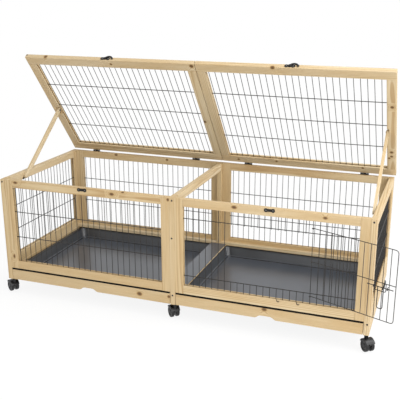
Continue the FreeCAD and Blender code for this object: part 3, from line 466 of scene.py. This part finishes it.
def grown(name, source, tree, values):
    """The plain mesh that a tree makes of a source mesh, with the tree's named inputs set."""
    holder = bpy.data.objects.new(name, source)
    SCENE.collection.objects.link(holder)
    modifier = holder.modifiers.new(name, "NODES")
    modifier.node_group = tree
    for socket in tree.interface.items_tree:
        if socket.in_out == "INPUT" and socket.name in values:
            modifier[socket.identifier] = values[socket.name]
    graph = bpy.context.evaluated_depsgraph_get()
    result = bpy.data.meshes.new_from_object(holder.evaluated_get(graph))
    bpy.data.objects.remove(holder)
    return result


def straight_wires(name):
    """Both ends and the diameter of every straight wire of a node, read from its six-sided solids."""
    shape = whole_mesh(name)
    mesh = bpy.data.meshes.new(name)
    shape.to_mesh(mesh)
    shape.free()
    points = np.array([v.co for v in mesh.vertices])
    found = []
    for group in islands(mesh):
        if len(group) != 12:
            continue
        own = points[group]
        middle = own.mean(0)
        axis = np.linalg.svd(own - middle)[2][0]
        reach = (own - middle) @ axis
        ends = own[reach < 0], own[reach > 0]
        corner = np.linalg.norm(ends[0][0] - ends[0].mean(0))
        found.append((ends[0].mean(0), ends[1].mean(0), 2 * corner * cos(pi / 6)))
    bpy.data.meshes.remove(mesh)
    return found


def wire_lines(name, lines):
    """A mesh of runs of edges, with a diameter at every point."""
    mesh = bpy.data.meshes.new(name)
    points, edges, widths = [], [], []
    for run, width in lines:
        first = len(points)
        points += [tuple(p) for p in run]
        edges += [(first + k, first + k + 1) for k in range(len(run) - 1)]
        widths += [width] * len(run)
    mesh.from_pydata(points, edges, [])
    mesh.attributes.new("diameter", "FLOAT", "POINT").data.foreach_set("value", widths)
    return mesh


def wire_piece(name, body, lines, *nodes):
    """A piece of round coated wires on a body, from pairs of a run of points and a diameter."""
    tubes = grown(name, wire_lines(name, lines), WIRE_TREE, {"Sides": 12, "Coating": COATED_WIRE})
    tubes.shade_smooth()
    tubes.set_sharp_from_angle(angle=radians(50))
    return piece(name, tubes, None, body, "wire", *nodes)


def mesh_panels():
    """The straight wires of the cage's and the lids' mesh, as one piece for each body."""
    for body in ("frame", "lid_left", "lid_right"):
        names = [n for n in BODIES[body] if "mesh" in n]
        lines = []
        for name in names:
            lines += [((start, end), width) for start, end, width in straight_wires(name)]
        wire_piece(f"wire_mesh_{body}", body, lines, *names)


# Turned, moulded and pressed pieces
def eased(corners, steps=4):
    """A run of points with rounded corners, from pairs of a corner and the reach of its rounding."""
    run = []
    for k, (point, reach) in enumerate(corners):
        if reach == 0 or k in (0, len(corners) - 1):
            run.append(point)
            continue
        before = (corners[k - 1][0] - point).normalized() * reach
        after = (corners[k + 1][0] - point).normalized() * reach
        run += [point + before * (1 - s / steps) ** 2 + after * (s / steps) ** 2 for s in range(steps + 1)]
    return run


def rounded_ring(low, high, inset, corner, z, steps=7):
    """Points round a rectangle with rounded corners."""
    x0, y0 = low.x + inset + corner, low.y + inset + corner
    x1, y1 = high.x - inset - corner, high.y - inset - corner
    ring = []
    for k, (x, y) in enumerate(((x1, y0), (x1, y1), (x0, y1), (x0, y0))):
        for step in range(steps + 1):
            angle = (k - 1 + step / steps) * pi / 2
            ring.append(Vector((x + corner * cos(angle), y + corner * sin(angle), z)))
    return ring


def stacked(shape, rings, ends=True):
    """Joins rings of points one after another, and closes the ends or joins the last ring to the first."""
    rows = [[shape.verts.new(p) for p in ring] for ring in rings]
    pairs = list(zip(rows, rows[1:]))
    if ends:
        shape.faces.new(rows[0])
        shape.faces.new(rows[-1])
    else:
        pairs.append((rows[-1], rows[0]))
    for low, high in pairs:
        for k in range(len(low)):
            n = (k + 1) % len(low)
            shape.faces.new((low[k], low[n], high[n], high[k]))


def outward(shape):
    """The shape with its faces turned outwards."""
    bmesh.ops.recalc_face_normals(shape, faces=shape.faces)
    return shape


def lathe(shape, profile, origin, axis, steps=48):
    """A solid turned about an axis, from a closed profile of places along it and radii, in millimetres."""
    side = axis.orthogonal().normalized()
    up = axis.cross(side)
    rings = []
    for along, radius in profile:
        turns = [2 * pi * k / steps for k in range(steps)]
        rings.append([origin + (axis * along + (side * cos(t) + up * sin(t)) * radius) * MM for t in turns])
    stacked(shape, rings, ends=False)


def moulded_trays():
    """Trays with drafted walls, a step along their foot and a lip that laps over the drawer's front."""
    wall, depth, front_lap, corner = 2.5, 44.0, 15.0, 28.0
    step, lap = wall + 4, 0.7 * MM
    # The wall's section, from under the floor round the rim to the floor: inset, height and rounding
    profile = eased([(Vector((inset, height)), reach) for inset, height, reach in (
        (34, 0, 0), (22, 0, 4), (8.8, depth - wall, 2), (0, depth - wall, 0.9), (0, depth, 0.9),
        (10.5, depth, 3), (23.5, step, 2), (29, step, 0.8), (30, wall, 0.6), (48, wall, 0),
    )], 5)
    for bay in ("left", "right"):
        name = f"drawer_{bay}_tray"
        low, high = (Vector(c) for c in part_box(name))
        start = Vector((low.x, low.y + front_lap * MM, low.z))
        shape = bmesh.new()
        stacked(shape, [
            rounded_ring(start, high, inset * MM, (corner - inset / 2) * MM, low.z + height * MM)
            for inset, height in profile
        ])
        mesh = smooth_mesh(outward(shape), name)
        piece(f"tray_{bay}", mesh, TRAY_GREY, BODY_OF[name], "tray_plastic", name)
        # The lip's section: a lap over the front, a bead, a flange, and a tongue down the tray's wall
        outer, inner, top = FRONT * MM - lap, start.y + wall * MM, high.z + 0.3 * MM
        lap_foot, bead_foot, flange, tongue = (top - drop * MM for drop in (6, 4.7, wall, 14))
        bead = outer + 4 * MM
        bend = eased([(Vector((y, z)), reach * MM) for y, z, reach in (
            (outer + 6 * MM, top, 0), (outer, top, 1), (outer, lap_foot, 0.3),
            (outer + lap, lap_foot, 0.3), (outer + lap, bead_foot, 0.3), (bead, bead_foot, 0.8),
            (bead, flange, 0.8), (start.y, flange, 1.5), (start.y, tongue, 0.8),
            (inner, tongue, 0.8), (inner, top, 0.8), (inner - 2 * MM, top, 0),
        )])
        front_low, front_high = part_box(f"drawer_{bay}_front")
        ends = front_low[0] + 1 * MM, front_high[0] - 1 * MM
        shape = bmesh.new()
        stacked(shape, [[Vector((x, y, z)) for y, z in bend] for x in ends])
        lip = smooth_mesh(outward(shape), f"tray_lip_{bay}")
        # The lip is drawn near-black as painted shade, the dark gap under the low front rail
        piece(f"tray_lip_{bay}", lip, LIP_SHADE_BLACK, BODY_OF[name], "tray_plastic")


def castor_wheels():
    """Twin wheels with an eased tread, a sunk ring in the outer face and a hub."""
    near, far, tread, bore = 4.5, 16.5, 22, 3.05
    # The wheel's section: place along the axle, radius and rounding
    profile = eased([(Vector((along, radius)), reach) for along, radius, reach in (
        (near, 12, 0), (near, tread, 2.5), (far, tread, 3), (far, 15.5, 0.8), (14.4, 14.5, 0.8),
        (14.4, 8.4, 0.8), (16.3, 7.4, 0.8), (16.3, bore, 0.4), (near, bore, 0.4), (near, 10, 0),
    )], 3)
    for name in sorted(n for n in NODES if n.endswith("_wheels")):
        spin = JOINTS[name.replace("_wheels", "_spin")]
        axis = Vector(spin["axis"]).normalized()
        shape = bmesh.new()
        for side in (axis, -axis):
            lathe(shape, profile, Vector(spin["pos_m"]), side)
        mesh = smooth_mesh(outward(shape), name, 30)
        twin = name.replace("_wheels", "_twin_wheels")
        piece(twin, mesh, WHEEL_NYLON, BODY_OF[name], "castor_wheel_plastic", name)


def eased_copy(name, material, slot, width):
    """A moulded or pressed node with its edges rounded by a width in millimetres."""
    shape = whole_mesh(name)
    round_edges(shape, width)
    return piece(f"eased_{name}", smooth_mesh(shape, name, 35), material, BODY_OF[name], slot, name)


def hinge_pieces():
    """Butt hinges with their leaves let into the wood, but for a strip beside the knuckle."""
    hinge = Vector(JOINTS["lid_left_hinge"]["pos_m"])
    shown = 4.5 * MM
    for name in sorted(n for n in NODES if n.endswith("hinge_leaves")):
        along = lid_turn((0, -1, 0)) if name.startswith("lid") else Vector((0, -1, 0))
        shape = whole_mesh(name)
        for vert in shape.verts:
            reach = (vert.co - hinge).dot(along)
            vert.co -= along * max(0.0, reach - shown)
        round_edges(shape, 0.3)
        mesh = smooth_mesh(shape, name, 35)
        piece(f"eased_{name}", mesh, BLACK_STEEL, BODY_OF[name], "dark_steel", name)


# Door of bent wire, and its bolt
def door_place(along, out, z):
    """A point of the door given from its axis as if closed, and its height, where the open door has it."""
    axis = JOINTS["door_hinge"]["pos_m"]
    turn = Matrix.Rotation(radians(DOOR_ANGLE), 3, "Z")
    return turn @ Vector((-along, out, 0)) * MM + Vector((axis[0], axis[1], z * MM))


def door_run(*corners):
    """A bent wire of the door, from corners as along, out, height and reach of the bend."""
    return eased([(door_place(*c[:3]), c[3] * MM) for c in corners], 6)


def wire_door():
    """The door's rim, middle bar, rings and keepers as bent wires, and its bolt with a loop handle."""
    width, plane, low, middle, high = 314.6, -3.2, 173.0, 302.25, 423.5
    rim_dia, rim_bend, ring_radius = 2.6 * MM, 12, 3.2
    lines = [((start, end), dia) for start, end, dia in straight_wires("door")]
    lines.append((door_run(
        (0, plane, low, 0), (width, plane, low, rim_bend), (width, plane, high, rim_bend), (0, plane, high, 0)
    ), rim_dia))
    lines.append((door_run((0, plane, middle, 0), (width - 1.3, plane, middle, 0)), rim_dia))
    turns = [2 * pi * k / 20 for k in range(21)]
    for z in (low, middle, high):
        ring = [door_place(ring_radius * sin(t), -ring_radius * cos(t), z) for t in turns]
        lines.append((ring, rim_dia))
    # Two keepers round the bolt, and a guide under it that turns up to the middle bar
    bolt_level, bolt_plane, bolt_dia = 290.25, 4.8, 3 * MM
    back, out, reach, bend = -4.5, 8.6, 3.8, 2.2
    for along in (290.4, 242.0):
        lines.append((door_run(
            (along, back, bolt_level + reach, 0), (along, out, bolt_level + reach, bend),
            (along, out, bolt_level - reach, bend), (along, back, bolt_level - reach, 0),
        ), rim_dia))
    guide_start, guide_end, guide_plane, guide_level = 240, 282, -0.6, bolt_level - 15.5
    lines.append((door_run(
        (guide_start, guide_plane, guide_level, 0), (guide_end, guide_plane, guide_level, 5),
        (guide_end, guide_plane, middle, 0),
    ), rim_dia))
    wire_piece("door_wires", BODY_OF["door"], lines, "door")
    bar_start, bar_end = 217.6, 310.6
    bar = door_run((bar_start, bolt_plane, bolt_level, 0), (bar_end, bolt_plane, bolt_level, 0))
    loop_near, loop_far, loop_foot, loop_bend = 276.2, 256.2, bolt_level - 74, 8
    handle = door_run(
        (loop_near, bolt_plane, bolt_level, 0), (loop_near, bolt_plane, loop_foot, loop_bend),
        (loop_far, bolt_plane, loop_foot, loop_bend), (loop_far, bolt_plane, bolt_level, 0),
    )
    bolt_wires = [(bar, bolt_dia), (handle, bolt_dia)]
    wire_piece("door_bolt_wires", BODY_OF["door_bolt"], bolt_wires, "door_bolt")


def sill_hooks():
    """Two small bent wires over the low rail under the doorway."""
    top, low, width, tip = 148, 139, 8, 143
    dia, bend, plane = 2.3 * MM, 3 * MM, FRONT - 1.1
    lines = []
    for start in (399, 471):
        corners = ((start, top), (start, low), (start + width, low), (start + width, tip))
        lines.append((eased([(Vector((x, plane, z)) * MM, bend) for x, z in corners], 5), dia))
    wire_piece("sill_hooks", "frame", lines)


# Screws
def screw_tree():
    """Cross-headed screws on points, each facing as its point says and turned by chance.

    Sizes are shares of the head's diameter.
    """
    tree = bpy.data.node_groups.new("screw_heads", "GeometryNodeTree")
    for name, kind in (("Points", "Geometry"), ("Head", "Float"), ("Seed", "Int"), ("Metal", "Material")):
        tree.interface.new_socket(name, in_out="INPUT", socket_type=f"NodeSocket{kind}")
    tree.interface.new_socket("Screws", in_out="OUTPUT", socket_type="NodeSocketGeometry")
    given = node(tree, "NodeGroupInput").outputs
    head = node(
        tree, "GeometryNodeMeshCone", {"Vertices": 28, "Radius Top": 0.34, "Radius Bottom": 0.5, "Depth": 0.2}
    ).outputs["Mesh"]
    slots = []
    for size in ((0.56, 0.1, 0.2), (0.1, 0.56, 0.2)):
        blade = node(tree, "GeometryNodeMeshCube", {"Size": size}).outputs["Mesh"]
        slots.append(node(
            tree, "GeometryNodeTransform", {"Geometry": blade, "Translation": (0, 0, 0.22)}
        ).outputs[0])
    cut = node(
        tree, "GeometryNodeMeshBoolean", {"Mesh 1": head, "Mesh 2": slots}, operation="DIFFERENCE"
    ).outputs[0]
    rod = node(
        tree, "GeometryNodeMeshCylinder", {"Vertices": 12, "Radius": 0.25, "Depth": 0.5}
    ).outputs["Mesh"]
    shank = node(tree, "GeometryNodeTransform", {"Geometry": rod, "Translation": (0, 0, -0.2)}).outputs[0]
    screw = node(tree, "GeometryNodeJoinGeometry", {"Geometry": [cut, shank]}).outputs[0]
    facing = node(
        tree, "GeometryNodeInputNamedAttribute", {"Name": "facing"}, data_type="FLOAT_VECTOR"
    ).outputs[0]
    stand = node(tree, "FunctionNodeAlignRotationToVector", {"Vector": facing}, axis="Z").outputs[0]
    roll = node(
        tree, "FunctionNodeRandomValue", {2: 0.0, 3: pi, "Seed": given["Seed"]}, data_type="FLOAT"
    ).outputs[1]
    turn = node(tree, "FunctionNodeAxisAngleToRotation", {"Axis": (0, 0, 1), "Angle": roll}).outputs[0]
    turned = node(
        tree, "FunctionNodeRotateRotation", {"Rotation": stand, "Rotate By": turn}, rotation_space="LOCAL"
    ).outputs[0]
    heads = node(
        tree, "GeometryNodeInstanceOnPoints",
        {"Points": given["Points"], "Instance": screw, "Rotation": turned, "Scale": given["Head"]},
    ).outputs[0]
    whole = node(tree, "GeometryNodeRealizeInstances", {"Geometry": heads}).outputs[0]
    plated = node(tree, "GeometryNodeSetMaterial", {"Geometry": whole, "Material": given["Metal"]}).outputs[0]
    node(tree, "NodeGroupOutput", {"Screws": plated})
    return tree


def screws(name, body, slot, metal, head, seed, places):
    """Screw heads of one size on a body, from pairs of a place in millimetres and the way it faces."""
    source = bpy.data.meshes.new(name)
    source.from_pydata([Vector(place) * MM for place, facing in places], [], [])
    facings = [c for place, facing in places for c in facing]
    source.attributes.new("facing", "FLOAT_VECTOR", "POINT").data.foreach_set("vector", facings)
    values = {"Head": head * MM, "Seed": seed, "Metal": metal}
    piece(name, grown(name, source, SCREW_TREE, values), None, body, slot)


def lid_turn(vector):
    """A direction on a closed lid, as the open lid has it."""
    return Matrix.Rotation(radians(-LID_ANGLE), 3, "X") @ Vector(vector)


def lid_place(x, y, z):
    """A point of a closed lid, in millimetres, where the open lid has it."""
    hinge = Vector((0, JOINTS["lid_left_hinge"]["pos_m"][1], JOINTS["lid_left_hinge"]["pos_m"][2])) / MM
    return hinge + lid_turn(Vector((x, y, z)) - hinge)


def all_screws():
    """Screws in the legs, in the latches' plates and keepers, and in the left lid's outer corner."""
    front, back = (0, -1, 0), (0, 1, 0)
    # How far behind the wood's face the undersides of the heads lie. Those in plates stand before it
    sunk, in_plate = 0.1, -0.8
    legs = [(-717, 472), (1, 470), (-1, 326), (-1, 99), (715, 471), (717, 103)]
    in_front = [((x, FRONT + sunk, z), front) for x, z in legs]
    behind = [((x, -FRONT - sunk, z), back) for x, z in legs]
    screws("leg_screws", "frame", "dark_steel", BLACK_STEEL, head=7.0, seed=3, places=in_front + behind)
    # Each latch plate has two ears, and so has its keeper on the front rail
    middles = {}
    for bay in ("left", "right"):
        plate_low, plate_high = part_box(f"lid_{bay}_latch_plate")
        middles[bay] = (plate_low[0] + plate_high[0]) / 2 / MM
    ears, keeper_level, plate_level = (-12.5, 12.5), TOP - 8.5, TOP + 14
    keeper = [((x + e, FRONT + in_plate, keeper_level), front) for x in middles.values() for e in ears]
    screws("keeper_screws", "frame", "steel", ZINC, head=4.2, seed=5, places=keeper)
    for bay, x in middles.items():
        plate = [(lid_place(x + e, FRONT + in_plate, plate_level), lid_turn(front)) for e in ears]
        screws(f"lid_{bay}_plate_screws", f"lid_{bay}", "steel", ZINC, head=4.2, seed=9, places=plate)
    lid_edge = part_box("lid_left_rails")[0][0] / MM
    corner = [(lid_place(lid_edge + 5, FRONT + sunk, TOP + 17.4), lid_turn(front))]
    screws("lid_corner_screw", "lid_left", "dark_steel", BLACK_STEEL, head=6.0, seed=13, places=corner)


# Light, floor and camera
def stand_camera():
    """The camera as fitted to the photograph, in metres and degrees."""
    data = bpy.data.cameras.new("camera")
    data.lens = 62.29
    data.shift_x = -0.0306
    data.shift_y = 0.0039
    camera = bpy.data.objects.new("camera", data)
    aside, above, roll = radians(19.463), radians(17.142), radians(0.185)
    heading = Matrix.Rotation(aside, 4, "Z") @ Matrix.Rotation(pi / 2 - above, 4, "X")
    turn = heading @ Matrix.Rotation(roll, 4, "Z")
    camera.matrix_world = Matrix.Translation((0.928, -2.4685, 1.1984)) @ turn
    SCENE.collection.objects.link(camera)
    SCENE.camera = camera


def light_room():
    """Four soft lamps in a white room, whose walls look brighter than the light they give."""
    world = bpy.data.worlds.new("studio")
    SCENE.world = world
    world.use_nodes = True
    tree = world.node_tree
    tree.nodes.clear()
    path = node(tree, "ShaderNodeLightPath").outputs
    seen = path["Is Camera Ray"]
    for ray in ("Is Glossy Ray", "Is Transmission Ray"):
        seen = node(tree, "ShaderNodeMath", {0: seen, 1: path[ray]}, operation="MAXIMUM").outputs[0]
    strength = node(tree, "ShaderNodeMapRange", {0: seen, 3: 0.62, 4: 1.0}).outputs[0]
    sky = node(tree, "ShaderNodeBackground", {"Color": (1, 1, 1, 1), "Strength": strength})
    node(tree, "ShaderNodeOutputWorld", {"Surface": sky.outputs[0]})
    # Name, place and size in metres, and power in watts
    aim = Vector((0, 0, 0.35))
    lamps = (
        ("key", (2.6, -2.4, 2.7), 2.4, 56.0),
        ("low", (1.3, -3.3, 0.6), 2.0, 40.0),
        ("top", (2.0, 0.0, 3.2), 2.2, 82.0),
        ("side", (3.2, -0.6, 1.6), 1.4, 24.0),
    )
    for name, place, size, power in lamps:
        data = bpy.data.lights.new(name, "AREA")
        data.size = size
        data.energy = power
        lamp = bpy.data.objects.new(name, data)
        lamp.location = place
        lamp.rotation_euler = (aim - Vector(place)).to_track_quat("-Z", "Y").to_euler()
        SCENE.collection.objects.link(lamp)


def lay_floor():
    """A pale floor that takes a soft shadow near the cage and fades to white away from it."""
    mesh = bpy.data.meshes.new("floor")
    reach = 30.0
    corners = [(-reach, -reach, 0), (reach, -reach, 0), (reach, reach, 0), (-reach, reach, 0)]
    mesh.from_pydata(corners, [], [(0, 1, 2, 3)])
    floor = bpy.data.objects.new("floor", mesh)
    SCENE.collection.objects.link(floor)
    material = bpy.data.materials.new("pale_floor")
    material.use_nodes = True
    tree = material.node_tree
    tree.nodes.clear()
    path = node(tree, "ShaderNodeLightPath").outputs
    seen = node(
        tree, "ShaderNodeMath", {0: path["Is Camera Ray"], 1: path["Is Glossy Ray"]}, operation="MAXIMUM"
    ).outputs[0]
    place = node(tree, "ShaderNodeNewGeometry").outputs["Position"]
    distance = node(tree, "ShaderNodeVectorMath", {0: place}, operation="LENGTH").outputs["Value"]
    fade = node(
        tree, "ShaderNodeMapRange", {0: distance, 1: 0.7, 2: 1.9, 3: 0.88, 4: 1.0},
        interpolation_type="SMOOTHSTEP",
    ).outputs[0]
    share = node(tree, "ShaderNodeMath", {0: seen, 1: fade}, operation="MULTIPLY").outputs[0]
    pale = node(tree, "ShaderNodeBsdfDiffuse", {"Color": linear("#F4F4F4")}).outputs[0]
    white = node(tree, "ShaderNodeEmission", {"Color": (1, 1, 1, 1), "Strength": 1.0}).outputs[0]
    both = node(tree, "ShaderNodeMixShader", {0: share, 1: pale, 2: white})
    node(tree, "ShaderNodeOutputMaterial", {"Surface": both.outputs[0]})
    mesh.materials.append(material)


PINE = planed_pine()
COATED_WIRE = coated_wire()
TRAY_GREY = tray_plastic()
HOOD_NYLON = black_plastic("moulded_black_nylon", "#111112", 0.3, 0.45)
WHEEL_NYLON = black_plastic("moulded_wheel_nylon", "#161617", 0.35, 0.5)
# Near-black plastic for the trays' lips, a dark sheet put as painted shade under the low front rails
LIP_SHADE_BLACK = black_plastic("lip_black_painted_shade", "#0C0907", 0.5, 0.65, 0.1)
BLACK_STEEL = black_steel()
ZINC = zinc_steel()
WIRE_TREE = wire_tree()
SCREW_TREE = screw_tree()

WOOD_WORDS = ("legs", "rails", "stiles", "boards", "ledges", "strips", "stay_left", "stay_right", "_front")
OTHER_WORDS = ("mesh", "castor", "screw")
WOODEN = sorted(
    n for n in NODES if any(w in n for w in WOOD_WORDS) and not any(w in n for w in OTHER_WORDS)
)
for seed, name in enumerate(WOODEN):
    board(name, seed)
mesh_panels()
wire_door()
sill_hooks()
moulded_trays()
eased_copy("divider_cover", TRAY_GREY, "tray_plastic", width=0.6)
castor_wheels()
for name in sorted(NODES):
    if name.startswith("castor_") and name.endswith("_frame"):
        eased_copy(name, HOOD_NYLON, "castor_plastic", width=0.5)
    elif any(word in name for word in ("latch", "hook", "screw", "stops")):
        eased_copy(name, BLACK_STEEL, "dark_steel", width=0.3)
eased_copy("castor_sockets", ZINC, "steel", width=0.25)
hinge_pieces()
all_screws()
light_room()
lay_floor()
stand_camera()
SCENE.view_settings.view_transform = "Standard"
